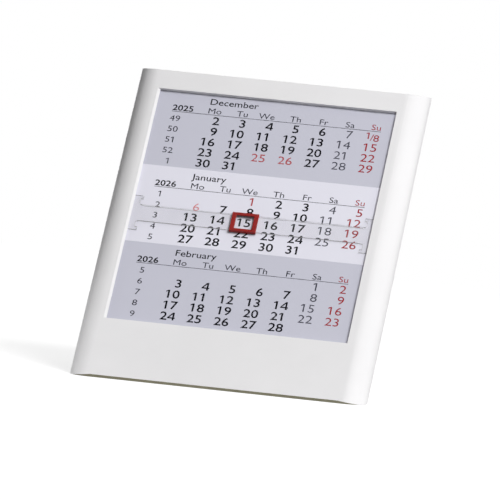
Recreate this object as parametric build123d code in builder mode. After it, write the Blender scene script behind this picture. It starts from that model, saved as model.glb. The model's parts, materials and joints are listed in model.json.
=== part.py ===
"""Desk calendar: a leaning frame with month cards, a sliding date marker and a fold-out leg.

Millimetres, +Z up, origin on the desk under the middle of the calendar. The face leans back:
on the face plane x runs across, y runs up the face and z points out of it.
"""

import os
from math import atan2, cos, hypot, radians, sin, tan

from build123d import *

os.makedirs("parts", exist_ok=True)

# Driving dimensions
face_width = 110.0
face_height = 140.0
recline = 53.0
side_flat = 2.0
top_slope = 4.5
overrun = 5.0

# Window in the front wall, set in from the edges of the face
side_margin = 10.1
top_margin = 8.5
base_margin = 26.4
lip_thickness = 0.6

# Clear date band behind the lip
band_thickness = 0.6
band_play = 0.1
band_height = 7.5
band_rest = 74.9
band_corner = 0.6
shoe_height = 15.4
shoe_show = 2.2
shoe_hidden = 3.0
shoe_play = 0.3
nose_reach = 1.0
nose_height = 1.4

# Red date cursor on the band
cursor_width = 10.0
cursor_side_bar = 1.7
cursor_end_bar = 1.25
cursor_lip = 0.35
cursor_rise = 0.6
cursor_play = 0.1
cursor_rest = -2.5
cursor_bevel = 0.15
hook_reach = 0.3
hook_thickness = 0.2
hook_side_room = 0.1
hook_front_room = 0.1

# Month cards, reaching past the window on every side
card_count = 12
card_thickness = 0.3
card_gap = 0.05
card_overlap = 3.2
card_tuck = 6.7
card_drop = 3.5
card_corner = 1.5
card_side_play = 0.5
card_front_play = 0.1
ledge_thickness = 2.0

# Back cover inside the shell's rim
cover_thickness = 2.0
cover_drop = 12.0
cover_lift = 0.6
cover_play = 0.15
rim_thickness = 1.7
rim_stand = 2.3

# Cover screws
screw_radius = 0.9
screw_head_radius = 1.6
screw_head_angle = 90.0
screw_play = 0.05
screw_tip_room = 0.3
screw_front_wall = 3.1
screw_low = 14.0
screw_drop = 10.0
drive_width = 0.5
drive_depth = 0.6
drive_span = 2.2

# Hinge on the back cover
hinge_drop = 32.0
hinge_rise = 4.6
pin_radius = 1.2
pin_play = 0.05
barrel_radius = 3.0
lug_radius = 3.4
lug_thickness = 3.6
lug_base = 15.0
lug_root = 0.8
lug_play = 0.3

# Fold-out leg
leg_lean = 16.0
leg_width = 56.0
leg_thickness = 2.4
foot_width = 48.0
foot_depth = 7.0
foot_height = 3.0
foot_round = 1.2
pad_thickness = 1.2
heel_width = 22.0
stop_gap = 0.15
leg_rib_width = 2.0
leg_rib_height = 1.6
leg_rib_spacing = 34.0
leg_rib_margin = 6.0

# Soft strip under the bottom edge
strip_height = 0.9
strip_top_inset = 9.0
strip_base_inset = 1.6
strip_depth = 4.4

# Layers behind the face, measured as depths
band_front = lip_thickness + band_play
band_back = band_front + band_thickness
front_wall = band_back + band_play
card_front = front_wall + card_front_play
card_pitch = card_thickness + card_gap
cover_front = card_front + card_count * card_pitch
cover_back = cover_front + cover_thickness
shell_depth = cover_back + rim_stand
side_radius = shell_depth - side_flat

# The leaning frame of reference
lean = radians(recline)
top_fall = radians(top_slope)
top_depth = shell_depth * cos(top_fall) / sin(lean + top_fall)
desk_depth = face_height * cos(lean) + top_depth
front_y = -desk_depth / 2
top_z = face_height * sin(lean)
bottom_edge = Vector(0, front_y, 0)
top_edge = Vector(0, front_y + face_height * cos(lean), top_z)
up_the_face = Vector(0, cos(lean), sin(lean))
out_of_face = Vector(0, -sin(lean), cos(lean))
across = Vector(1, 0, 0)
face = Plane(origin=bottom_edge, x_dir=across, z_dir=out_of_face)
section = Plane(origin=bottom_edge, x_dir=across, z_dir=up_the_face)
profile = Plane(origin=bottom_edge, x_dir=up_the_face, z_dir=across)
top_plane = Plane(origin=top_edge, x_dir=across, z_dir=(0, sin(top_fall), cos(top_fall)))

# Widths and heights that several pieces share
window_width = face_width - 2 * side_margin
window_top = face_height - top_margin
shoe_inner = window_width / 2 - shoe_show
shoe_outer = window_width / 2 + shoe_hidden
cursor_height = band_height + 2 * (cursor_play + cursor_lip)
card_width = window_width + 2 * card_overlap
card_base = base_margin - card_tuck
card_height = face_height - card_drop - card_base
pocket_half = card_width / 2 + card_side_play
cover_half = face_width / 2 - rim_thickness
cover_top = face_height - cover_drop
screw_x = (pocket_half + cover_half) / 2
screw_length = cover_back - screw_front_wall - screw_tip_room
screw_head_height = (screw_head_radius - screw_radius) / tan(radians(screw_head_angle / 2))
screw_spots = [(x, y) for y in (screw_low, cover_top - screw_drop) for x in (-screw_x, screw_x)]

# Hinge axis and the leg's line, seen from the side
hinge_height = cover_top - hinge_drop
hinge_depth = cover_back + hinge_rise
hinge_spot = (hinge_height, -hinge_depth)
hinge_y = front_y + hinge_height * cos(lean) + hinge_depth * sin(lean)
hinge_z = hinge_height * sin(lean) - hinge_depth * cos(lean)
leg_tilt = radians(leg_lean)
foot_y = hinge_y + hinge_z * tan(leg_tilt)
leg_length = hypot(foot_y - hinge_y, hinge_z)
leg_opening = leg_tilt + atan2(cos(lean), sin(lean))
heel_length = (hinge_rise - stop_gap - leg_thickness / 2 * cos(leg_opening)) / sin(leg_opening)
lug_start = leg_width / 2 + lug_play
pin_length = 2 * (lug_start + lug_thickness)
leg_face = Plane(
    origin=(0, hinge_y, hinge_z),
    x_dir=across,
    z_dir=(0, -cos(leg_tilt), -sin(leg_tilt)),
)


def behind(depth):
    """The plane this far behind the face, facing out of the face."""
    return face.offset(-depth)


def from_back(depth):
    """The plane this far behind the face, facing backwards."""
    return Plane(origin=behind(depth).origin, x_dir=-across, z_dir=-out_of_face)


def fill_outline():
    """Fills the shell's outer body: the rounded section, cut level at the desk and sloping at the top."""
    reach = shell_depth + overrun
    with BuildSketch(section.offset(-reach)) as outline:
        Rectangle(face_width, shell_depth, align=(Align.CENTER, Align.MIN))
        fillet(outline.vertices().group_by(Axis.Y)[0], radius=side_radius)
    extrude(outline.sketch, amount=face_height + 2 * reach)
    with BuildSketch(Plane.XY) as slab:
        Rectangle(face_width + 2 * overrun, 2 * (desk_depth + overrun))
    extrude(slab.sketch, amount=top_z, mode=Mode.INTERSECT)
    split(bisect_by=top_plane, keep=Keep.BOTTOM)


def cut_behind(depth, end_depth, half_width, low, high):
    """Cuts a box between two depths behind the face and two heights along it."""
    with BuildSketch(behind(depth)) as mouth:
        with Locations((0, (low + high) / 2)):
            Rectangle(2 * half_width, high - low)
    extrude(mouth.sketch, amount=depth - end_depth, mode=Mode.SUBTRACT)


def strip_outline():
    """The soft strip's long outline with sloping ends, drawn in front of the bottom edge."""
    base_half = face_width / 2 - strip_base_inset
    top_half = face_width / 2 - strip_top_inset
    with BuildSketch(Plane.XZ.offset(overrun - front_y)) as outline:
        with BuildLine():
            Polyline(
                (-base_half, 0),
                (base_half, 0),
                (top_half, strip_height),
                (-top_half, strip_height),
                close=True,
            )
        make_face()
    return outline.sketch


def save(part, name):
    """Labels a finished piece and writes its file."""
    part.label = name
    export_step(part, f"parts/{name}.step")


# Front shell: outer body, card pocket, hollow foot, cover seat, window, band channel
with BuildPart() as front_shell:
    beyond_top = face_height + shell_depth + overrun
    fill_outline()
    cut_behind(front_wall, shell_depth, pocket_half, card_base, beyond_top)
    cut_behind(front_wall, shell_depth, pocket_half, -overrun, card_base - ledge_thickness)
    cut_behind(cover_front, shell_depth + overrun, cover_half, -overrun, beyond_top)
    cut_behind(0, front_wall, window_width / 2, base_margin, window_top)
    cut_behind(lip_thickness, front_wall, shoe_outer + shoe_play, base_margin, window_top)
    extrude(strip_outline(), amount=-strip_depth - overrun, mode=Mode.SUBTRACT)
    with Locations(from_back(cover_front)):
        with Locations(*screw_spots):
            Hole(screw_radius + screw_play, cover_front - screw_front_wall)
save(front_shell.part, "front_shell")

# Soft strip set into the bottom edge
with BuildPart() as base_strip:
    fill_outline()
    extrude(strip_outline(), amount=-strip_depth - overrun, mode=Mode.INTERSECT)
save(base_strip.part, "base_strip")

# Back cover: plate with hinge lugs and countersunk holes
with BuildPart() as back_cover:
    with BuildSketch(behind(cover_front)):
        with Locations((0, cover_top)):
            Rectangle(
                2 * (cover_half - cover_play),
                cover_top + shell_depth + overrun,
                align=(Align.CENTER, Align.MAX),
            )
    extrude(amount=-cover_thickness)
    split(bisect_by=Plane.XY.offset(cover_lift), keep=Keep.TOP)
    for lug_x in (lug_start, -lug_start - lug_thickness):
        with BuildSketch(profile.offset(lug_x)):
            with Locations(hinge_spot):
                Circle(lug_radius)
            with Locations((hinge_height, -cover_back)):
                Rectangle(lug_base, lug_root, align=(Align.CENTER, Align.MIN))
            make_hull()
        extrude(amount=lug_thickness)
    with BuildSketch(profile.offset(-pin_length / 2)):
        with Locations(hinge_spot):
            Circle(pin_radius + pin_play)
    extrude(amount=pin_length, mode=Mode.SUBTRACT)
    with Locations(from_back(cover_back)):
        with Locations(*screw_spots):
            CounterSinkHole(
                screw_radius + screw_play,
                screw_head_radius + screw_play,
                depth=cover_thickness,
                counter_sink_angle=screw_head_angle,
            )
save(back_cover.part, "back_cover")

# Countersunk cross-slot screws, one group
with BuildPart() as cover_screws:
    with Locations(from_back(cover_back)):
        with Locations(*screw_spots):
            Cone(
                screw_radius,
                screw_head_radius,
                screw_head_height,
                align=(Align.CENTER, Align.CENTER, Align.MAX),
            )
            Cylinder(screw_radius, screw_length, align=(Align.CENTER, Align.CENTER, Align.MAX))
            for turn in (0, 90):
                Box(
                    drive_span,
                    drive_width,
                    drive_depth,
                    rotation=(0, 0, turn),
                    align=(Align.CENTER, Align.CENTER, Align.MAX),
                    mode=Mode.SUBTRACT,
                )
save(cover_screws.part, "cover_screws")

# Hinge pin through the lugs and the leg
with BuildPart() as hinge_pin:
    with BuildSketch(profile.offset(-pin_length / 2)):
        with Locations(hinge_spot):
            Circle(pin_radius)
    extrude(amount=pin_length)
save(hinge_pin.part, "hinge_pin")

# Fold-out leg: tapered plate, barrel, stop heel, foot bar and ribs
with BuildPart() as stand_leg:
    with BuildSketch(leg_face):
        with BuildLine():
            Polyline(
                (-leg_width / 2, 0),
                (-foot_width / 2, -leg_length),
                (foot_width / 2, -leg_length),
                (leg_width / 2, 0),
                close=True,
            )
        make_face()
        Rectangle(heel_width, heel_length, align=(Align.CENTER, Align.MIN))
    extrude(amount=leg_thickness / 2, both=True)
    with BuildSketch(leg_face.offset(leg_thickness / 2)):
        rib_length = leg_length - barrel_radius - foot_height - 2 * leg_rib_margin
        for rib_x in (-leg_rib_spacing / 2, leg_rib_spacing / 2):
            with Locations((rib_x, -barrel_radius - leg_rib_margin)):
                Rectangle(leg_rib_width, rib_length, align=(Align.CENTER, Align.MAX))
    extrude(amount=leg_rib_height)
    split(bisect_by=Plane.XY.offset(pad_thickness), keep=Keep.TOP)
    with BuildSketch(Plane.XY.offset(pad_thickness)):
        with Locations((0, foot_y)):
            RectangleRounded(foot_width, foot_depth, foot_round)
    extrude(amount=foot_height)
    with BuildSketch(profile.offset(-leg_width / 2)):
        with Locations(hinge_spot):
            Circle(barrel_radius)
    extrude(amount=leg_width)
    with BuildSketch(profile.offset(-leg_width / 2)):
        with Locations(hinge_spot):
            Circle(pin_radius + pin_play)
    extrude(amount=leg_width, mode=Mode.SUBTRACT)
save(stand_leg.part, "stand_leg")

# Soft pad under the foot
with BuildPart() as leg_pad:
    with BuildSketch(Plane.XY):
        with Locations((0, foot_y)):
            RectangleRounded(foot_width, foot_depth, foot_round)
    extrude(amount=pad_thickness)
save(leg_pad.part, "leg_pad")

# Clear date band: strip, end shoes with noses, rebated back edges for the cursor
with BuildPart() as date_band:
    with BuildSketch(behind(band_front)) as band_outline:
        with Locations((0, band_rest)):
            Rectangle(2 * shoe_outer, band_height)
        for side in (1, -1):
            shoe_align = (Align.MIN if side > 0 else Align.MAX, Align.CENTER)
            with Locations((side * shoe_inner, band_rest)):
                Rectangle(shoe_outer - shoe_inner, shoe_height, align=shoe_align)
        inner_corners = band_outline.vertices().sort_by_distance((0, band_rest))[:4]
        fillet(inner_corners, radius=band_corner)
        nose_lift = (shoe_height - nose_height) / 2
        for nose_y in (band_rest - nose_lift, band_rest + nose_lift):
            with Locations((0, nose_y)):
                Rectangle(2 * (shoe_inner + shoe_show), nose_height)
                Rectangle(2 * (shoe_inner - nose_reach), nose_height, mode=Mode.SUBTRACT)
    extrude(amount=-band_thickness)
    rebate_width = hook_reach + hook_side_room
    rebate_depth = hook_thickness + hook_front_room
    rebate_lift = (band_height - rebate_width) / 2
    with BuildSketch(behind(band_back - rebate_depth)):
        with Locations((0, band_rest - rebate_lift), (0, band_rest + rebate_lift)):
            Rectangle(2 * (shoe_inner - nose_reach), rebate_width)
    extrude(amount=-rebate_depth, mode=Mode.SUBTRACT)
save(date_band.part, "date_band")

# Red cursor: bevelled frame with lips and hooks that grip the band's edges
with BuildPart() as date_cursor:
    with BuildSketch(behind(band_front - cursor_play)):
        with Locations((cursor_rest, band_rest)):
            Rectangle(cursor_width, cursor_height)
            Rectangle(
                cursor_width - 2 * cursor_side_bar,
                cursor_height - 2 * cursor_end_bar,
                mode=Mode.SUBTRACT,
            )
    extrude(amount=cursor_rise)
    front_face = date_cursor.faces().sort_by(Axis(bottom_edge, out_of_face))[-1]
    chamfer(front_face.edges(), length=cursor_bevel)
    for end in (1, -1):
        lip_align = (Align.CENTER, Align.MAX if end > 0 else Align.MIN)
        edge_y = band_rest + end * cursor_height / 2
        with BuildSketch(behind(band_front - cursor_play)):
            with Locations((cursor_rest, edge_y)):
                Rectangle(cursor_width, cursor_lip, align=lip_align)
        extrude(amount=-cursor_play - band_thickness)
        with BuildSketch(behind(band_back - hook_thickness)):
            with Locations((cursor_rest, edge_y)):
                Rectangle(cursor_width, cursor_lip + cursor_play + hook_reach, align=lip_align)
        extrude(amount=-hook_thickness)
save(date_cursor.part, "date_cursor")

# Month cards, the front one first
for number in range(card_count):
    with BuildPart() as card:
        with BuildSketch(behind(card_front + number * card_pitch)):
            with Locations((0, card_base + card_height / 2)):
                RectangleRounded(card_width, card_height, card_corner)
        extrude(amount=-card_thickness)
    save(card.part, f"card_{number + 1:02d}")
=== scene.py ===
# %% [markdown]
# # A desk calendar with a sliding date marker
# The real thing is a white moulded frame that leans back on a fold-out leg. A stack of printed cards
# stands in its window, a clear band slides up and down in front of them, and a red cursor slides along
# the band. The construction is already packed as a fixed frame of plain solids, so this lesson starts
# by loading it and keeps every piece exactly where that frame says.

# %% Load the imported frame
import bpy
import bmesh
import json
import math
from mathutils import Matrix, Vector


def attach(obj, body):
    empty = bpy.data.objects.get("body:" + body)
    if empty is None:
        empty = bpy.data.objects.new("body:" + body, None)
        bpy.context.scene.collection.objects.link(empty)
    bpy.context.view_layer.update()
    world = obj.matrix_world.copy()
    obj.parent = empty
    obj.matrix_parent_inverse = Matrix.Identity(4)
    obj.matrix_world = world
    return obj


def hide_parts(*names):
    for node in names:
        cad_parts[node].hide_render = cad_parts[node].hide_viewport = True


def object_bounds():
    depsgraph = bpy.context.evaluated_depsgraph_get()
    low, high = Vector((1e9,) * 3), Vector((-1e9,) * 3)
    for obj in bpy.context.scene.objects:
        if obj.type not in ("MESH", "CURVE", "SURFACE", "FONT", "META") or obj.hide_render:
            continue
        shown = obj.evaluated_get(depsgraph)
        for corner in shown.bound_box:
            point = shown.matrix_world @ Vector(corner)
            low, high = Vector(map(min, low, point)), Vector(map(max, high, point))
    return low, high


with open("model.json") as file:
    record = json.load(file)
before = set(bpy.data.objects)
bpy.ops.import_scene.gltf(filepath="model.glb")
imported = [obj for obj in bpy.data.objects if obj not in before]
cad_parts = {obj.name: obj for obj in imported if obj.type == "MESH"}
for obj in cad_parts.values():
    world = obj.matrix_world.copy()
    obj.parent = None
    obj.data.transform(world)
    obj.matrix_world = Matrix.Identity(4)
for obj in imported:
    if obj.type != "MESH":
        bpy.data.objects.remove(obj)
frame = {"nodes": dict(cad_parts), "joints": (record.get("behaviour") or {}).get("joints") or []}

from datetime import date, timedelta
from mathutils import Matrix, Vector

cad_low, cad_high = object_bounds()
print("nodes:", len(frame["nodes"]), "size:", [round(side, 4) for side in cad_high - cad_low])

# %% [markdown]
# ## The leaning face
# Almost everything here lies on a face that leans back, so it is easiest to think in that face's own
# directions: across it, up it and straight out of it. One could turn every piece by hand, but a single
# matrix that lays a flat drawing onto the face does it for all of them. The lean is read from the
# direction in which the clear band slides.

# %% The face's own directions
band_slide = next(joint for joint in frame["joints"] if joint["name"] == "band_slide")
up_the_face = Vector(band_slide["axis"]).normalized()
out_of_face = Vector((0, -up_the_face.z, up_the_face.y))
lean = math.atan2(up_the_face.z, up_the_face.y)
face_foot = Vector((0, cad_low.y, 0))
face_to_room = Matrix.Translation(face_foot) @ Matrix.Rotation(lean, 4, "X")
room_to_face = face_to_room.inverted()
face_height = cad_high.z / up_the_face.z


def face_box(node):
    """Lowest and highest corner of a CAD node, measured across, up and out of the face."""
    points = [room_to_face @ vertex.co for vertex in frame["nodes"][node].data.vertices]
    low = Vector([min(point[i] for point in points) for i in range(3)])
    high = Vector([max(point[i] for point in points) for i in range(3)])
    return low, high


print("lean:", round(math.degrees(lean), 1), "face height:", round(face_height, 4))

# %% [markdown]
# ## The camera
# The photograph was taken with a long lens from a little to the right and hardly above the table, with
# the camera rolled a few degrees. Those angles came from fitting the frame's straight edges, and the
# middle of the face is set on the pixel where the photograph shows it. The camera is turned to its aim
# instead of shifted, so that other views of the same scene stay centred.

# %% Work out where the photograph was taken
camera_turn = math.radians(9.98)
camera_rise = math.radians(2.55)
camera_roll = math.radians(5.49)
camera_distance = 2.7
picture_side = 500
pixels_per_metre = 2716
face_middle_pixel = Vector((248.2, 233.5))

towards_camera = Vector((
    math.sin(camera_turn) * math.cos(camera_rise),
    -math.cos(camera_turn) * math.cos(camera_rise),
    math.sin(camera_rise),
))
level_right = Vector((math.cos(camera_turn), math.sin(camera_turn), 0))
level_up = towards_camera.cross(level_right)
picture_right = level_right * math.cos(camera_roll) + level_up * math.sin(camera_roll)
picture_up = level_up * math.cos(camera_roll) - level_right * math.sin(camera_roll)
face_middle = face_to_room @ Vector((0, face_height / 2, 0))
off_centre = (Vector((picture_side, picture_side)) / 2 - face_middle_pixel) / pixels_per_metre
aim = face_middle + picture_right * off_centre.x - picture_up * off_centre.y
camera_place = face_middle + towards_camera * camera_distance
backwards = (camera_place - aim).normalized()
sideways = picture_up.cross(backwards).normalized()
upwards = backwards.cross(sideways)
print("camera at:", [round(step, 3) for step in camera_place])

# %% Stand the camera there
sensor_width = 36
farthest_seen = 200

bpy.ops.object.camera_add()
camera = bpy.context.object
camera.name = "photo_camera"
camera_turned = Matrix((sideways, upwards, backwards)).transposed().to_4x4()
camera.matrix_world = Matrix.Translation(camera_place) @ camera_turned
camera.data.sensor_width = sensor_width
camera.data.lens = sensor_width * pixels_per_metre * camera_distance / picture_side
camera.data.clip_end = farthest_seen
bpy.context.scene.camera = camera
bpy.context.scene.view_settings.view_transform = "Standard"
print("lens:", round(camera.data.lens), "mm")

# %% [markdown]
# ## White surroundings
# The calendar stands on plain white in soft light that comes mostly from the right. Stronger lamps
# would whiten the background but would also burn out the white plastic. Instead the floor and the world
# show white only to the camera and to reflections, and stay modest for the light that falls on the
# calendar. Light that has already left a dull surface does not see the white, or it would leak back in
# through the clear band. A small helper works out which rays those are.


# %% A white that only the camera and reflections see
def seen_directly(tree):
    """A factor that is 1 for rays that come from the camera without touching a dull surface."""
    path = tree.nodes.new("ShaderNodeLightPath")
    seen = path.outputs["Is Camera Ray"]
    for other in ("Is Glossy Ray", "Is Transmission Ray"):
        either = tree.nodes.new("ShaderNodeMath")
        either.operation = "MAXIMUM"
        tree.links.new(seen, either.inputs[0])
        tree.links.new(path.outputs[other], either.inputs[1])
        seen = either.outputs[0]
    untouched = tree.nodes.new("ShaderNodeMath")
    untouched.operation = "LESS_THAN"
    untouched.inputs[1].default_value = 0.5
    tree.links.new(path.outputs["Diffuse Depth"], untouched.inputs[0])
    both = tree.nodes.new("ShaderNodeMath")
    both.operation = "MULTIPLY"
    tree.links.new(seen, both.inputs[0])
    tree.links.new(untouched.outputs[0], both.inputs[1])
    return both.outputs[0]


# %% [markdown]
# ## The floor
# A white table in soft light comes out grey in the picture. So the floor adds a glow of its own to the
# light it shows, which makes it white and leaves the calendar's shadow pale. Far away it turns into
# plain white, so that no horizon shows. What it throws back onto the calendar is a separate dull paint
# that darkens with distance, because a wide bright table would fill the shade on the left side.

# %% Lay the floor
MM = 0.001
floor_side = 120
floor_drop = 0.1 * MM

bpy.ops.object.select_all(action="DESELECT")
bpy.ops.mesh.primitive_plane_add(size=floor_side, location=(0, 0, cad_low.z - floor_drop))
floor = bpy.context.object
floor.name = "studio_floor"
floor_paint = bpy.data.materials.new("floor_white")
floor_paint.use_nodes = True
floor.data.materials.append(floor_paint)
print("floor:", floor_side, "m")

# %% Mix what the floor shows
floor_glow = 0.7
floor_show = (0.45, 0.45, 0.45, 1)

tree = floor_paint.node_tree
tree.nodes.remove(tree.nodes["Principled BSDF"])
show = tree.nodes.new("ShaderNodeBsdfDiffuse")
show.inputs["Color"].default_value = floor_show
glow = tree.nodes.new("ShaderNodeEmission")
glow.inputs["Strength"].default_value = floor_glow
bright = tree.nodes.new("ShaderNodeAddShader")
tree.links.new(show.outputs[0], bright.inputs[0])
tree.links.new(glow.outputs[0], bright.inputs[1])
print("floor glow:", floor_glow)

# %% Fade it with distance and choose by ray
bounce_near = 0.4
bounce_far = 0.02
bounce_reach = (0.05, 0.25)
shadow_reach = (0.3, 0.9)

bounce = tree.nodes.new("ShaderNodeBsdfDiffuse")
white = tree.nodes.new("ShaderNodeEmission")
place = tree.nodes.new("ShaderNodeTexCoord")
away = tree.nodes.new("ShaderNodeVectorMath")
away.operation = "LENGTH"
tree.links.new(place.outputs["Object"], away.inputs[0])


def fade_away(reach, near, far):
    """A value that changes with the distance from the calendar."""
    fade = tree.nodes.new("ShaderNodeMapRange")
    fade.inputs["From Min"].default_value = reach[0]
    fade.inputs["From Max"].default_value = reach[1]
    fade.inputs["To Min"].default_value = near
    fade.inputs["To Max"].default_value = far
    tree.links.new(away.outputs["Value"], fade.inputs["Value"])
    return fade.outputs["Result"]


tree.links.new(fade_away(bounce_reach, bounce_near, bounce_far), bounce.inputs["Color"])
shown = tree.nodes.new("ShaderNodeMixShader")
tree.links.new(fade_away(shadow_reach, 0, 1), shown.inputs[0])
tree.links.new(bright.outputs[0], shown.inputs[1])
tree.links.new(white.outputs[0], shown.inputs[2])
choice = tree.nodes.new("ShaderNodeMixShader")
tree.links.new(seen_directly(tree), choice.inputs[0])
tree.links.new(bounce.outputs[0], choice.inputs[1])
tree.links.new(shown.outputs[0], choice.inputs[2])
tree.links.new(choice.outputs[0], tree.nodes["Material Output"].inputs["Surface"])
print("floor turns plain white from", shadow_reach[0], "to", shadow_reach[1], "m away")

# %% [markdown]
# ## The world
# A studio often has a wall of soft light on one side and a dark room on the other, which is what makes
# the left rounding fall into shade. One could hang up glowing panels, but two ramps over the direction
# do the same: one brightens from left to right, the other from the horizon upwards. Their product is
# the light, while the camera and reflections see plain white.

# %% Light the world from the right
world_left = 0.02
world_right = 1.0
dark_side = -0.45
horizon_share = 0.3
full_height = 0.6

world = bpy.data.worlds.new("studio_world")
bpy.context.scene.world = world
world.use_nodes = True
tree = world.node_tree
direction = tree.nodes.new("ShaderNodeTexCoord")
apart = tree.nodes.new("ShaderNodeSeparateXYZ")
tree.links.new(direction.outputs["Generated"], apart.inputs[0])
side_light = tree.nodes.new("ShaderNodeMapRange")
side_light.inputs["From Min"].default_value = dark_side
side_light.inputs["From Max"].default_value = 1
side_light.inputs["To Min"].default_value = world_left
side_light.inputs["To Max"].default_value = world_right
tree.links.new(apart.outputs["X"], side_light.inputs["Value"])
high_light = tree.nodes.new("ShaderNodeMapRange")
high_light.inputs["From Max"].default_value = full_height
high_light.inputs["To Min"].default_value = horizon_share
tree.links.new(apart.outputs["Z"], high_light.inputs["Value"])
dome = tree.nodes.new("ShaderNodeMath")
dome.operation = "MULTIPLY"
tree.links.new(side_light.outputs["Result"], dome.inputs[0])
tree.links.new(high_light.outputs["Result"], dome.inputs[1])
backdrop = tree.nodes.new("ShaderNodeMix")
backdrop.data_type = "RGBA"
backdrop.inputs["B"].default_value = (1, 1, 1, 1)
tree.links.new(seen_directly(tree), backdrop.inputs["Factor"])
tree.links.new(dome.outputs[0], backdrop.inputs["A"])
tree.links.new(backdrop.outputs["Result"], tree.nodes["Background"].inputs["Color"])
print("world:", world_left, "to", world_right)

# %% [markdown]
# ## The lamps
# The world alone is too even. A key lamp high at the right front draws the thin shadows inside the
# window, and a side lamp from the right back brightens the right rounding. A low lamp behind keeps the
# back readable from the other side, and a tiny one at the lower left stands in for a white card that
# lifts the shade there. Square lamps give softer shadows than points, and the camera does not see them.

# %% Hang up the lamps
reflector_aim_height = 10 * MM
lower_left = Vector((cad_low.x, cad_low.y, reflector_aim_height))


def soft_lamp(name, direction, target, distance, size, power):
    """A square lamp that looks at a target from a direction."""
    place = target + Vector(direction).normalized() * distance
    bpy.ops.object.light_add(type="AREA", location=place)
    lamp = bpy.context.object
    lamp.name = name
    lamp.rotation_euler = (target - place).to_track_quat("-Z", "Y").to_euler()
    lamp.visible_camera = False
    lamp.data.size = size
    lamp.data.energy = power
    print(name, [round(step, 2) for step in place], power, "W")


soft_lamp("key_lamp", (0.48, -0.49, 0.76), face_middle, distance=1.0, size=0.36, power=7.2)
soft_lamp("side_lamp", (0.8, 0.6, 0.25), face_middle, distance=0.9, size=0.5, power=1.55)
soft_lamp("back_lamp", (-0.3, 0.95, 0.15), face_middle, distance=1.0, size=0.6, power=3.2)
soft_lamp("left_reflector", (-0.95, -0.1, 0.1), lower_left, distance=0.06, size=0.05, power=0.017)

# %% [markdown]
# ## Finishes
# Every surface gets a small tree of nodes. Most have a noise that shifts the colour a little, a noise
# that shifts the gloss and a bump for the grain. All of them read Object coordinates, which are the same
# metres as the frame, so a noise scale of 1000 gives features about a millimetre wide on every piece.


# %% Helpers that start a finish
def screen_colour(red, green, blue):
    """A colour given as screen values of 0 to 255, as the linear colour that shaders expect."""
    def linear(value):
        share = value / 255
        return share / 12.92 if share <= 0.04045 else ((share + 0.055) / 1.055) ** 2.4
    return (linear(red), linear(green), linear(blue), 1)


def new_finish(name):
    """A material with its tree, its shader and the Object coordinates to build on."""
    finish = bpy.data.materials.new(name)
    finish.use_nodes = True
    tree = finish.node_tree
    shader = tree.nodes["Principled BSDF"]
    coordinates = tree.nodes.new("ShaderNodeTexCoord")
    print("finish:", name)
    return finish, tree, shader, coordinates.outputs["Object"]


def grain(tree, place, scale, detail=3.0):
    """A soft noise with features about 1 / scale metres wide."""
    noise = tree.nodes.new("ShaderNodeTexNoise")
    noise.inputs["Scale"].default_value = scale
    noise.inputs["Detail"].default_value = detail
    tree.links.new(place, noise.inputs["Vector"])
    return noise.outputs["Fac"]


print("a screen grey of 128 is", round(screen_colour(128, 128, 128)[0], 3), "in linear light")

# %% Helpers that let a noise act on colour, gloss and grain
noise_low = 0.3
noise_high = 0.7


def tint(tree, shader, factor, dark, light):
    """Lets a factor shift the colour between two shades."""
    shades = tree.nodes.new("ShaderNodeValToRGB")
    shades.color_ramp.elements[0].position = noise_low
    shades.color_ramp.elements[1].position = noise_high
    shades.color_ramp.elements[0].color = dark
    shades.color_ramp.elements[1].color = light
    tree.links.new(factor, shades.inputs["Fac"])
    tree.links.new(shades.outputs["Color"], shader.inputs["Base Color"])


def gloss(tree, shader, factor, smooth, rough):
    """Lets a factor shift the roughness."""
    spread = tree.nodes.new("ShaderNodeMapRange")
    spread.inputs["From Min"].default_value = noise_low
    spread.inputs["From Max"].default_value = noise_high
    spread.inputs["To Min"].default_value = smooth
    spread.inputs["To Max"].default_value = rough
    tree.links.new(factor, spread.inputs["Value"])
    tree.links.new(spread.outputs["Result"], shader.inputs["Roughness"])


def texture(tree, shader, factor, depth, strength):
    """Raises a factor as a bump of a given depth."""
    bump = tree.nodes.new("ShaderNodeBump")
    bump.inputs["Distance"].default_value = depth
    bump.inputs["Strength"].default_value = strength
    tree.links.new(factor, bump.inputs["Height"])
    tree.links.new(bump.outputs["Normal"], shader.inputs["Normal"])


# %% [markdown]
# ## White plastic
# The shell is moulded white plastic with a satin skin, and the back has a coarser grain, as moulds
# often have where nobody looks. A plain white shader would look like plaster. A faint shift of colour,
# an uneven gloss and a grain of a few thousandths of a millimetre make it plastic, and a fairly rough
# gloss spreads the lamps' reflections, so that the roundings show no hard streaks.


# %% White plastic of the shell and of the back
def white_plastic(name, shade, grain_scale, grain_depth, smooth, rough):
    """Moulded white plastic: hardly any colour shift, a satin gloss and a fine grain."""
    finish, tree, shader, place = new_finish(name)
    shade_step = 3
    darker = screen_colour(*(value - shade_step for value in shade))
    tint(tree, shader, grain(tree, place, scale=60), darker, screen_colour(*shade))
    gloss(tree, shader, grain(tree, place, scale=220), smooth, rough)
    texture(tree, shader, grain(tree, place, grain_scale, detail=2), grain_depth, strength=0.5)
    shader.inputs["IOR"].default_value = 1.5
    return finish


shell_plastic = white_plastic(
    "satin_white_plastic",
    shade=(240, 239, 240),
    grain_scale=6000,
    grain_depth=0.004 * MM,
    smooth=0.56,
    rough=0.64,
)
back_plastic = white_plastic(
    "grained_white_plastic",
    shade=(232, 232, 230),
    grain_scale=2600,
    grain_depth=0.03 * MM,
    smooth=0.5,
    rough=0.6,
)
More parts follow.
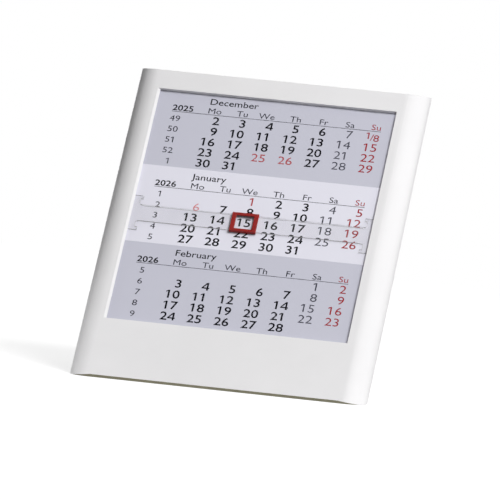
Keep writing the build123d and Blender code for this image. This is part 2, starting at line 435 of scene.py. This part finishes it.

# %% [markdown]
# ## Clear plastic
# The band is clear plastic with polished faces and rough edges. The edges are also coloured a darker
# grey,
# which is painted shade: it draws them as the thin grey lines that bent light makes along a clear edge.
# A glass shader alone would make the card behind it too dark or too bright, because bent light from a
# lamp is lost or counted twice. So light on its way to the card passes straight through a transparent
# shader, and only what the camera sees is bent. A refraction weaker than that of real plastic keeps the
# mirror image of the white room faint, so that it does not veil the figures.


# %% Clear plastic of the band
def clear_plastic(name, clearness, dark, light, smooth, rough, shadow):
    """Clear plastic with a faint unevenness; shadow and diffuse rays go straight through."""
    finish, tree, shader, place = new_finish(name)
    weak_refraction = 1.22
    shader.inputs["Transmission Weight"].default_value = clearness
    shader.inputs["IOR"].default_value = weak_refraction
    tint(tree, shader, grain(tree, place, scale=90), (dark, dark, dark, 1), (light, light, light, 1))
    gloss(tree, shader, grain(tree, place, scale=500), smooth, rough)
    let_through = tree.nodes.new("ShaderNodeBsdfTransparent")
    let_through.inputs["Color"].default_value = (shadow, shadow, shadow, 1)
    path = tree.nodes.new("ShaderNodeLightPath")
    straight = tree.nodes.new("ShaderNodeMath")
    straight.operation = "MAXIMUM"
    tree.links.new(path.outputs["Is Shadow Ray"], straight.inputs[0])
    tree.links.new(path.outputs["Is Diffuse Ray"], straight.inputs[1])
    choice = tree.nodes.new("ShaderNodeMixShader")
    tree.links.new(straight.outputs[0], choice.inputs[0])
    tree.links.new(shader.outputs[0], choice.inputs[1])
    tree.links.new(let_through.outputs[0], choice.inputs[2])
    tree.links.new(choice.outputs[0], tree.nodes["Material Output"].inputs["Surface"])
    return finish


clear_acrylic = clear_plastic(
    "clear_acrylic",
    clearness=1,
    dark=0.93,
    light=0.96,
    smooth=0.02,
    rough=0.06,
    shadow=0.97,
)
# The grey of the band's edges is painted shade for the dark lines along a clear edge.
band_edge_shade = clear_plastic(
    "frosted_acrylic_edge",
    clearness=0.55,
    dark=0.6,
    light=0.68,
    smooth=0.4,
    rough=0.55,
    shadow=0.75,
)

# %% [markdown]
# ## Red plastic, rubber and steel
# The cursor is glossy red plastic, the pad under the leg is dull rubber, and the pin and the screws are
# bright steel. The strip under the front edge gets the same dark rubber, but there it is painted shade:
# it stands for the thin contact shadow along the front edge. The same helpers serve all three. Steel
# differs most: it is metallic, and its noise is stretched along one direction, which turns it into the
# scratches of drawn wire.


# %% Red plastic of the cursor
def red_plastic():
    """Glossy red plastic, a little deeper in some places than in others."""
    finish, tree, shader, place = new_finish("glossy_red_plastic")
    deep = screen_colour(138, 10, 4)
    tint(tree, shader, grain(tree, place, scale=400), deep, screen_colour(150, 17, 7))
    gloss(tree, shader, grain(tree, place, scale=900), smooth=0.3, rough=0.4)
    shader.inputs["Specular IOR Level"].default_value = 0.3
    texture(tree, shader, grain(tree, place, scale=5000, detail=2), depth=0.003 * MM, strength=0.4)
    return finish


red_gloss = red_plastic()


# %% Rubber of the strips, also painted shade under the front edge
def soft_rubber():
    """Dark olive rubber, dull, with a pitted skin; under the front edge its dark colour is painted
    shade.
    """
    finish, tree, shader, place = new_finish("olive_rubber")
    dark = screen_colour(112, 109, 89)
    tint(tree, shader, grain(tree, place, scale=300), dark, screen_colour(126, 122, 101))
    gloss(tree, shader, grain(tree, place, scale=700), smooth=0.75, rough=0.9)
    texture(tree, shader, grain(tree, place, scale=3500, detail=4), depth=0.03 * MM, strength=0.6)
    return finish


olive_rubber = soft_rubber()

# %% Steel of the pin and the screws
scratch_stretch = (0.05, 1, 1)


def brushed_steel():
    """Drawn steel: the noise is stretched along the rod, so its scratches run that way."""
    finish, tree, shader, place = new_finish("brushed_steel")
    stretch = tree.nodes.new("ShaderNodeMapping")
    stretch.inputs["Scale"].default_value = scratch_stretch
    tree.links.new(place, stretch.inputs["Vector"])
    scratches = grain(tree, stretch.outputs["Vector"], scale=6000)
    shader.inputs["Metallic"].default_value = 1
    tint(tree, shader, scratches, screen_colour(176, 178, 182), screen_colour(204, 206, 210))
    gloss(tree, shader, scratches, smooth=0.22, rough=0.38)
    texture(tree, shader, scratches, depth=0.004 * MM, strength=0.4)
    return finish


steel = brushed_steel()

# %% [markdown]
# ## Card stock
# Each card is printed with a white middle third between two thirds of pale grey, so that the current
# month stands out. The two lines where the colours meet could be cut into the mesh, but a material that
# measures how far up the face a point lies needs no extra edges. The Mapping node of the Texture type
# undoes the lean, so its Y output is the height up the face.

# %% Paper with three printed thirds
upper_line = 97.4 * MM
lower_line = 62.4 * MM


def card_paper():
    """Smooth card, grey above and below the middle third, with the faint relief of fibres."""
    finish, tree, shader, place = new_finish("printed_card_stock")
    upright = tree.nodes.new("ShaderNodeMapping")
    upright.vector_type = "TEXTURE"
    upright.inputs["Location"].default_value = face_foot
    upright.inputs["Rotation"].default_value = (lean, 0, 0)
    tree.links.new(place, upright.inputs["Vector"])
    apart = tree.nodes.new("ShaderNodeSeparateXYZ")
    tree.links.new(upright.outputs["Vector"], apart.inputs[0])
    middle = tree.nodes.new("ShaderNodeMath")
    middle.operation = "COMPARE"
    middle.inputs[1].default_value = (upper_line + lower_line) / 2
    middle.inputs[2].default_value = (upper_line - lower_line) / 2
    tree.links.new(apart.outputs["Y"], middle.inputs[0])
    tint(tree, shader, middle.outputs[0], screen_colour(203, 203, 216), screen_colour(235, 234, 245))
    gloss(tree, shader, grain(tree, place, scale=800), smooth=0.55, rough=0.7)
    texture(tree, shader, grain(tree, place, scale=4000, detail=5), depth=0.01 * MM, strength=0.4)
    return finish


card_stock = card_paper()
card_nodes = sorted(name for name in frame["nodes"] if name.startswith("card_"))
for name in card_nodes:
    for slot in frame["nodes"][name].material_slots:
        slot.material = card_stock
print("cards:", len(card_nodes))

# %% [markdown]
# ## Rounded copies of the moulded pieces
# No moulded or cut edge is perfectly sharp: a tiny rounding catches the light as a thin bright line.
# The frame's solids have sharp edges, and they may not be changed, so each one is copied, its loose
# triangles are merged into clean faces, and its longer sharp edges are bevelled. The short edges of
# small holes are left out, because a bevel gets no wider than the shortest edge it meets allows.
# Weighted normals keep the flats flat.

# %% Copy a node and merge its triangles
merge_distance = 0.002 * MM
flat_angle = 0.01


def only(piece):
    """Selects one object and makes it active."""
    bpy.ops.object.select_all(action="DESELECT")
    piece.select_set(True)
    bpy.context.view_layer.objects.active = piece


def merged_copy(node, name):
    """A copy of a CAD node with its loose triangles merged into clean faces, left in edit mode."""
    piece = bpy.data.objects.new(name, frame["nodes"][node].data.copy())
    bpy.context.scene.collection.objects.link(piece)
    only(piece)
    bpy.ops.mesh.customdata_custom_splitnormals_clear()
    bpy.ops.object.mode_set(mode="EDIT")
    bpy.ops.mesh.select_all(action="SELECT")
    bpy.ops.mesh.remove_doubles(threshold=merge_distance)
    bpy.ops.mesh.dissolve_limited(angle_limit=flat_angle)
    bpy.ops.mesh.select_mode(type="EDGE")
    return piece


# %% Round its edges and smooth it
sharp_angle = math.radians(30)


def round_edges(piece, wanted, rounding, steps):
    """Bevels the sharp edges that a test picks out, and says how many there were."""
    bpy.ops.mesh.select_all(action="DESELECT")
    mesh = bmesh.from_edit_mesh(piece.data)
    for edge in mesh.edges:
        sharp = edge.is_manifold and edge.calc_face_angle() > sharp_angle
        edge.select_set(sharp and wanted(edge))
    chosen = sum(edge.select for edge in mesh.edges)
    bmesh.update_edit_mesh(piece.data)
    bpy.ops.mesh.bevel(offset=rounding, segments=steps, affect="EDGES", clamp_overlap=True)
    return chosen


def smooth_off(piece, finish):
    """Leaves edit mode, smooths the rounded edges, keeps the flats flat and puts on the finish."""
    bpy.ops.object.mode_set(mode="OBJECT")
    bpy.ops.object.shade_smooth_by_angle(angle=sharp_angle)
    bpy.ops.object.modifier_add(type="WEIGHTED_NORMAL")
    piece.modifiers[-1].keep_sharp = True
    bpy.ops.object.modifier_apply(modifier=piece.modifiers[-1].name)
    piece.data.materials.clear()
    piece.data.materials.append(finish)


# %% Do both, and tie the piece to its body
def rounded_copy(node, name, finish, rounding, shortest, steps=2):
    """A merged copy of a CAD node whose sharp edges of at least the shortest length are bevelled."""
    piece = merged_copy(node, name)
    chosen = round_edges(piece, lambda edge: edge.calc_length() >= shortest, rounding, steps)
    smooth_off(piece, finish)
    print(name, "edges rounded:", chosen, "faces:", len(piece.data.polygons))
    return piece


def stands_for(piece, node, body):
    """The piece rides on a body and replaces its CAD node, which is hidden."""
    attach(piece, body)
    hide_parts(node)


# %% [markdown]
# ## The white shell
# The window's left edge catches the light as a bright line, because that wall is cut at a slant, while
# the other walls are square. A bevel would only take off the corner, so the front edge at the left is
# moved outwards and the whole wall slants. Then the edges round the window are rounded finely and those
# outside a little more. The edges are picked by where they lie on the face.

# %% Copy the shell and find the edges of its window
window_slant = 1.0 * MM
window_rounding = 0.12 * MM
outside_rounding = 0.25 * MM
shortest_edge = 1.0 * MM
near = 0.05 * MM
card_corner = face_box("card_01")[1]

shell = merged_copy("front_shell", "white_shell")
mesh = bmesh.from_edit_mesh(shell.data)
face_points = [room_to_face @ vertex.co for vertex in mesh.verts]
front_points = [point for point in face_points if abs(point.z) < near]
window_left = max(point.x for point in front_points if point.x < 0)


def on_window_left(edge):
    """True for the front edge along the left of the window."""
    ends = [room_to_face @ vertex.co for vertex in edge.verts]
    return all(abs(end.x - window_left) < near and abs(end.z) < near for end in ends)


def round_the_window(edge):
    """True for the long edges of the front wall round the window."""
    ends = [room_to_face @ vertex.co for vertex in edge.verts]
    in_front = all(end.z > card_corner.z for end in ends)
    over_card = all(abs(end.x) < card_corner.x and abs(end.y) < card_corner.y for end in ends)
    return in_front and over_card and edge.calc_length() >= shortest_edge


print("window's left edge at", round(window_left / MM, 2), "mm")

# %% Slant the left wall and round the edges
bpy.ops.mesh.select_all(action="DESELECT")
for edge in mesh.edges:
    edge.select_set(on_window_left(edge))
slanted = sum(edge.select for edge in mesh.edges)
bmesh.update_edit_mesh(shell.data)
bpy.ops.transform.translate(value=(-window_slant, 0, 0))
fine = round_edges(shell, round_the_window, window_rounding, steps=2)
rest = round_edges(
    shell,
    lambda edge: edge.calc_length() >= shortest_edge and not round_the_window(edge),
    outside_rounding,
    steps=3,
)
smooth_off(shell, shell_plastic)
stands_for(shell, "front_shell", "frame")
print("white_shell edges:", slanted, fine, rest, "faces:", len(shell.data.polygons))

# %% [markdown]
# ## The cover and the leg
# A plate closes the back and carries the lugs for the leg, which folds out on a pin. Both are moulded,
# so their long edges get a small rounding. Modelling them anew would only risk a misfit at the hinge, so
# rounded copies are the safer way: they keep every hole and lug where the frame has it.

# %% Round the cover and the leg
cover = rounded_copy("back_cover", "back_plate", back_plastic, rounding=0.2 * MM, shortest=1.0 * MM)
stands_for(cover, "back_cover", "frame")
leg = rounded_copy("stand_leg", "fold_out_leg", back_plastic, rounding=0.25 * MM, shortest=1.0 * MM)
stands_for(leg, "stand_leg", "leg")

# %% [markdown]
# ## The clear band and the red cursor
# The band's faces are polished and its edges rough and coloured grey, a painted shade for the lines a
# clear edge shows, so every side gets the finish that fits the way it faces. One could pick the sides by
# hand, but comparing their direction with the face's is exact. The edges are rounded in three fine
# steps, which widens their grey lines. The cursor is a small moulded frame that rides on the band.

# %% Round the band and the cursor
facing_share = 0.9

band = rounded_copy(
    "date_band",
    "clear_band",
    clear_acrylic,
    rounding=0.14 * MM,
    shortest=0.05 * MM,
    steps=3,
)
# The edges get the grey finish, painted shade for the dark lines along them.
band.data.materials.append(band_edge_shade)
for side in band.data.polygons:
    side.material_index = int(abs(side.normal.dot(out_of_face)) < facing_share)
stands_for(band, "date_band", "band")
cursor = rounded_copy("date_cursor", "red_cursor", red_gloss, rounding=0.1 * MM, shortest=0.3 * MM)
stands_for(cursor, "date_cursor", "cursor")

# %% [markdown]
# ## The dark strips and the steel
# A dark rubber strip under the front edge is painted shade: it stands for the thin contact shadow there.
# A rubber pad under the leg's foot keeps the calendar from sliding.
# The pin of the hinge and the screws of the cover are steel. All of them are plain shapes that the frame
# already has, so a fine rounding and a finish are all they need.

# %% Round the strips, the pin and the screws
# The dark strip under the front edge is painted shade: the contact shadow where the edge meets the
# table.
strip = rounded_copy("base_strip", "rubber_strip", olive_rubber, rounding=0.2 * MM, shortest=0.3 * MM)
stands_for(strip, "base_strip", "frame")
pad = rounded_copy("leg_pad", "rubber_leg_pad", olive_rubber, rounding=0.2 * MM, shortest=0.3 * MM)
stands_for(pad, "leg_pad", "leg")
pin = rounded_copy("hinge_pin", "steel_pin", steel, rounding=0.12 * MM, shortest=0.1 * MM)
stands_for(pin, "hinge_pin", "frame")
screws = rounded_copy("cover_screws", "steel_screws", steel, rounding=0.04 * MM, shortest=0.1 * MM)
stands_for(screws, "cover_screws", "frame")

# %% [markdown]
# ## The printed months
# A calendar of this kind shows three months at once, each in five rows, so a sixth week shares a row
# with its neighbour. The dates are worked out, not typed: Python's own calendar says on which weekday
# each month starts. Every month is then set once as text and reused on up to three cards. Type could
# be painted by nodes, but the outlines of a font stay crisp at any distance.

# %% The first days of the months
first_grid_month = date(2024, 12, 1)
card_count = len(card_nodes)
months_per_card = 3
longest_month = timedelta(days=31)


def month_starts(count):
    """The first days of consecutive months."""
    day = first_grid_month
    for _ in range(count):
        yield day
        day = (day + longest_month).replace(day=1)


months = list(month_starts(card_count + months_per_card - 1))
print("months:", len(months), "from", months[0].strftime("%B"), "to", months[-1].strftime("%B"))

# %% The weeks of a month
rows_per_month = 5
one_week = timedelta(days=7)


def days_in(row):
    """How many days of the month a row holds."""
    return sum(len(cell) for cell in row[1])


def month_rows(first):
    """Rows of (week number, seven cells); a cell lists the days that share it."""
    monday = first - timedelta(days=first.weekday())
    rows = []
    while monday <= first or monday.month == first.month:
        week = [monday + timedelta(days=i) for i in range(7)]
        cells = [[day] if day.month == first.month else [] for day in week]
        rows.append((monday.isocalendar().week, cells))
        monday += one_week
    if len(rows) > rows_per_month:
        fold_first = days_in(rows[0]) <= days_in(rows[-1])
        keep, extra = (rows[1], rows[0]) if fold_first else (rows[-2], rows[-1])
        shared = [sorted(a + b) for a, b in zip(keep[1], extra[1])]
        rows[rows.index(keep)] = (keep[0], shared)
        rows.remove(extra)
    return rows


print("weeks of the first month:", [week for week, cells in month_rows(months[0])])

# %% [markdown]
# ## Printing inks
# Working days are black, Saturdays grey, labels darker grey, and Sundays and holidays are shades of red.
# Ink on card hardly shines. With the usual shine, the white room would turn the black figures grey, so
# it is nearly switched off, and a noise lets a little of the paper's unevenness through.

# %% Mix the inks
ink_shine = 0.08
ink_shift = 14


def ink(name, shade):
    """A thin dull ink, a little uneven where the paper's fibres show."""
    finish, tree, shader, place = new_finish(name)
    lighter = screen_colour(*(value + ink_shift for value in shade))
    tint(tree, shader, grain(tree, place, scale=2500, detail=4), screen_colour(*shade), lighter)
    gloss(tree, shader, grain(tree, place, scale=1200), smooth=0.5, rough=0.65)
    shader.inputs["Specular IOR Level"].default_value = ink_shine
    return finish


black_ink = ink("black_ink", (6, 6, 14))
label_ink = ink("label_ink", (42, 42, 54))
grey_ink = ink("grey_ink", (66, 66, 78))
red_ink = ink("red_ink", (156, 42, 50))
holiday_ink = ink("holiday_ink", (174, 76, 80))
pale_red_ink = ink("pale_red_ink", (213, 134, 136))

# %% [markdown]
# ## Setting the type
# The type is set flat, on a drawing board where one unit is a millimetre, because Blender fills the
# outlines of very small letters poorly. Each column of days is one block of text, aligned to the right,
# with an empty line wherever another ink prints. The built-in font draws its figure one as a bare bar,
# so a small slanted flag is added to each, as printed calendars have it, and its figure four loses its
# hole when the outline is made bolder, so bold fours are drawn from a few corners of their own.

# %% Where the type stands on the board, in millimetres
block_pitch = 34.72
month_baseline = 92.54
label_baseline = 88.44
rule_height = 87.89
first_row_baseline = 83.49
row_pitch = 4.895
month_left = -25.56
year_left = -39.05
rule_right = 40.38
rule_thickness = 0.2
weeks_right = -35.13
first_column_right = -20.23
column_pitch = 10.1
print("first column:", first_column_right, "mm, rows:", row_pitch, "mm apart")

# %% How large and how bold the type is
day_size = 5.07
month_size = 3.86
label_size = 3.62
week_size = 3.7
shared_size = 4.3
letter_stretch = 1.12
digit_share = 0.5
outline_steps = 3
bold = 0.06
half_bold = 0.02
plain = 0.0
thin = -0.02
thinnest = -0.03


def set_text(words, finish, left_or_right, baseline, size, align="LEFT", weight=plain):
    """A text object on the board; several lines are a row apart."""
    bpy.ops.object.text_add(location=(left_or_right, baseline, 0))
    text = bpy.context.object
    text.data.body = words
    text.data.size = size
    text.data.align_x = align
    text.data.offset = weight
    text.data.resolution_u = outline_steps
    text.data.space_line = row_pitch / size
    text.scale.x = letter_stretch
    text.data.materials.append(finish)
    return text


# %% Patterns for the flag of a one and for a bold four
flag_corner_shares = [(0.06, 0.50), (0.21, 0.58), (0.21, 0.69), (0.06, 0.60)]
flag_faces = [(0, 1, 2, 3)]
four_corner_shares = [
    (0.01, 0.15), (0.45, 0.15), (0.45, 0.69), (0.33, 0.69), (0.01, 0.24),
    (0.14, 0.26), (0.335, 0.26), (0.335, 0.54),
    (0.335, 0.15), (0.335, 0.0), (0.45, 0.0),
    (0.51, 0.15), (0.51, 0.26), (0.45, 0.26),
]
four_faces = [
    (0, 8, 6, 5), (8, 1, 13, 6), (13, 2, 7, 6), (2, 3, 7), (3, 4, 5, 7), (4, 0, 5),
    (9, 10, 1, 8), (1, 11, 12, 13),
]


def figure_pattern(name, corner_shares, faces):
    """A flat mesh drawn from a few corners, given as shares of the type's size."""
    mesh = bpy.data.meshes.new(name)
    mesh.from_pydata([(across, up, 0) for across, up in corner_shares], [], faces)
    return mesh


flag_of_one = figure_pattern("flag_of_one", flag_corner_shares, flag_faces)
bold_four = figure_pattern("bold_four", four_corner_shares, four_faces)
print("patterns:", len(flag_of_one.polygons), "and", len(bold_four.polygons), "faces")


# %% A helper that sets columns of figures
def place_pattern(pattern, finish, left, baseline, size):
    """A copy of a figure's pattern on the board."""
    figure = bpy.data.objects.new(pattern.name, pattern.copy())
    bpy.context.scene.collection.objects.link(figure)
    figure.data.materials.append(finish)
    figure.location = (left, baseline, 0)
    figure.scale = (size * letter_stretch, size, 1)
    return figure


def set_figures(numbers, finish, right, baseline, size, weight=plain):
    """Right-aligned numbers, one to a line, set as a column of tens and a column of units."""
    pieces = []
    step = digit_share * size * letter_stretch
    own_fours = weight > plain
    patterns = {"1": flag_of_one, "4": bold_four if own_fours else None}
    for place in range(max(len(number) for number in numbers)):
        digits = [number[-1 - place] if len(number) > place else "" for number in numbers]
        typed = ["" if digit == "4" and own_fours else digit for digit in digits]
        if any(typed):
            column = right - place * step
            pieces.append(set_text("\n".join(typed), finish, column, baseline, size, "RIGHT", weight))
        for row, digit in enumerate(digits):
            pattern = patterns.get(digit)
            if pattern:
                left = right - (place + 1) * step
                pieces.append(place_pattern(pattern, finish, left, baseline - row * row_pitch, size))
    return pieces


# %% [markdown]
# ## A month as a stamp
# Everything that is printed for a month, its name, labels, week numbers, days and the thin rule, ends
# up in one flat mesh, like a rubber stamp. Keeping hundreds of text objects would be slow to handle, and
# one mesh with a few inks prints on any card. The year beside the labels is one ahead of the year that
# the weekdays belong to, as on the real card.

# %% The ink of a day
holidays = ((1, 1), (12, 25), (12, 26))
faint_holiday = (1, 6)
saturday = 5
sunday = 6


def ink_of(day):
    """The ink and weight in which a day is printed; holidays are given as month and day."""
    if (day.month, day.day) == faint_holiday:
        return pale_red_ink, thinnest
    if (day.month, day.day) in holidays:
        return holiday_ink, plain
    if day.weekday() == sunday:
        return red_ink, plain
    if day.weekday() == saturday:
        return grey_ink, thin
    return black_ink, bold


print("first day of the first month:", ink_of(months[0])[0].name)

# %% Two days in one cell
early_rise_share = 0.16
late_drop_share = 1 / 3
slash_shift_share = 0.1
early_shift_share = 0.25


def shared_cell(cell, right, baseline):
    """Two days that share a cell, set small and stepped on either side of a slash."""
    step = digit_share * shared_size * letter_stretch
    rise = early_rise_share * shared_size
    drop = late_drop_share * rise
    early, late = (str(day.day) for day in cell)
    finish = ink_of(cell[0])[0]
    late_left = right - len(late) * step
    slash_right = late_left + slash_shift_share * step
    early_right = late_left - early_shift_share * step
    pieces = set_figures([late], finish, right, baseline - drop, shared_size)
    pieces.append(set_text("/", finish, slash_right, baseline, shared_size, "RIGHT"))
    pieces += set_figures([early], finish, early_right, baseline + rise, shared_size)
    return pieces


# %% The days of one weekday
def number_in(cell, finish):
    """The number of a day that has its cell to itself and is printed in this ink, or nothing."""
    if len(cell) == 1 and ink_of(cell[0])[0] == finish:
        return str(cell[0].day)
    return ""


def day_column(cells, right):
    """The days of one weekday, one block of figures for each ink."""
    pieces = []
    inks = {ink_of(cell[0]) for cell in cells if len(cell) == 1}
    for finish, weight in sorted(inks, key=lambda choice: choice[0].name):
        lines = [number_in(cell, finish) for cell in cells]
        pieces += set_figures(lines, finish, right, first_row_baseline, day_size, weight)
    for row, cell in enumerate(cells):
        if len(cell) == 2:
            pieces += shared_cell(cell, right, first_row_baseline - row * row_pitch)
    return pieces


# %% All the texts of a month
weekday_names = ("Mo", "Tu", "We", "Th", "Fr", "Sa", "Su")
year_ahead = 1


def month_pieces(first):
    """All the texts of one month, set in the middle block of the board."""
    rows = month_rows(first)
    name = first.strftime("%B")
    year = str(first.year + year_ahead)
    weeks = [str(week) for week, cells in rows]
    pieces = [set_text(name, black_ink, month_left, month_baseline, month_size, weight=half_bold)]
    pieces.append(set_text(year, black_ink, year_left, label_baseline, label_size, weight=bold))
    pieces += set_figures(weeks, label_ink, weeks_right, first_row_baseline, week_size)
    for column, label in enumerate(weekday_names):
        right = first_column_right + column * column_pitch
        finish = red_ink if column == sunday else label_ink
        pieces.append(set_text(label, finish, right, label_baseline, label_size, "RIGHT"))
        pieces += day_column([cells[column] for week, cells in rows], right)
    return pieces


# %% Rule a line and join each month into one mesh
def month_rule():
    """The thin line under a month's labels."""
    bpy.ops.mesh.primitive_plane_add(size=1, location=((year_left + rule_right) / 2, rule_height, 0))
    rule = bpy.context.object
    rule.scale = (rule_right - year_left, rule_thickness, 1)
    rule.data.materials.append(label_ink)
    return rule


def month_stamp(first):
    """One joined flat mesh with everything that is printed for a month."""
    bpy.ops.object.select_all(action="DESELECT")
    pieces = month_pieces(first) + [month_rule()]
    bpy.ops.object.select_all(action="DESELECT")
    for piece in pieces:
        piece.select_set(True)
    bpy.context.view_layer.objects.active = pieces[0]
    bpy.ops.object.convert(target="MESH")
    bpy.ops.object.join()
    bpy.ops.object.transform_apply(location=True, rotation=True, scale=True)
    stamp = bpy.context.object
    stamp.name = "stamp_" + first.strftime("%B")
    return stamp


stamps = [month_stamp(first) for first in months]
print("stamps:", len(stamps), "faces in the first:", len(stamps[0].data.polygons))

# %% [markdown]
# ## Printing the cards
# Now the stamps go onto the cards, three to a card: the month before, the month itself in the white
# third and the month after. A print lies a hair in front of its card, so it needs no cutting into the
# card, and it rides on the same body, so that it comes up with the card when that is pulled out.

# %% Stamp three months on every card
print_height = 0.02 * MM


def print_card(number, node):
    """The three printed months of one card, as one piece just in front of it."""
    card_front = face_box(node)[1].z
    bpy.ops.object.select_all(action="DESELECT")
    for place, stamp in enumerate(stamps[number:number + months_per_card]):
        lift = Matrix.Translation((0, (1 - place) * block_pitch * MM, card_front + print_height))
        mesh = stamp.data.copy()
        mesh.transform(face_to_room @ lift @ Matrix.Diagonal((MM, MM, MM, 1)))
        month = bpy.data.objects.new(node + "_print", mesh)
        bpy.context.scene.collection.objects.link(month)
        month.select_set(True)
        bpy.context.view_layer.objects.active = month
    bpy.ops.object.join()
    printed = bpy.context.object
    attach(printed, node + "_body")
    return printed


prints = [print_card(number, node) for number, node in enumerate(card_nodes)]
for stamp in stamps:
    bpy.data.objects.remove(stamp)
print("prints:", len(prints), "faces each:", len(prints[0].data.polygons))
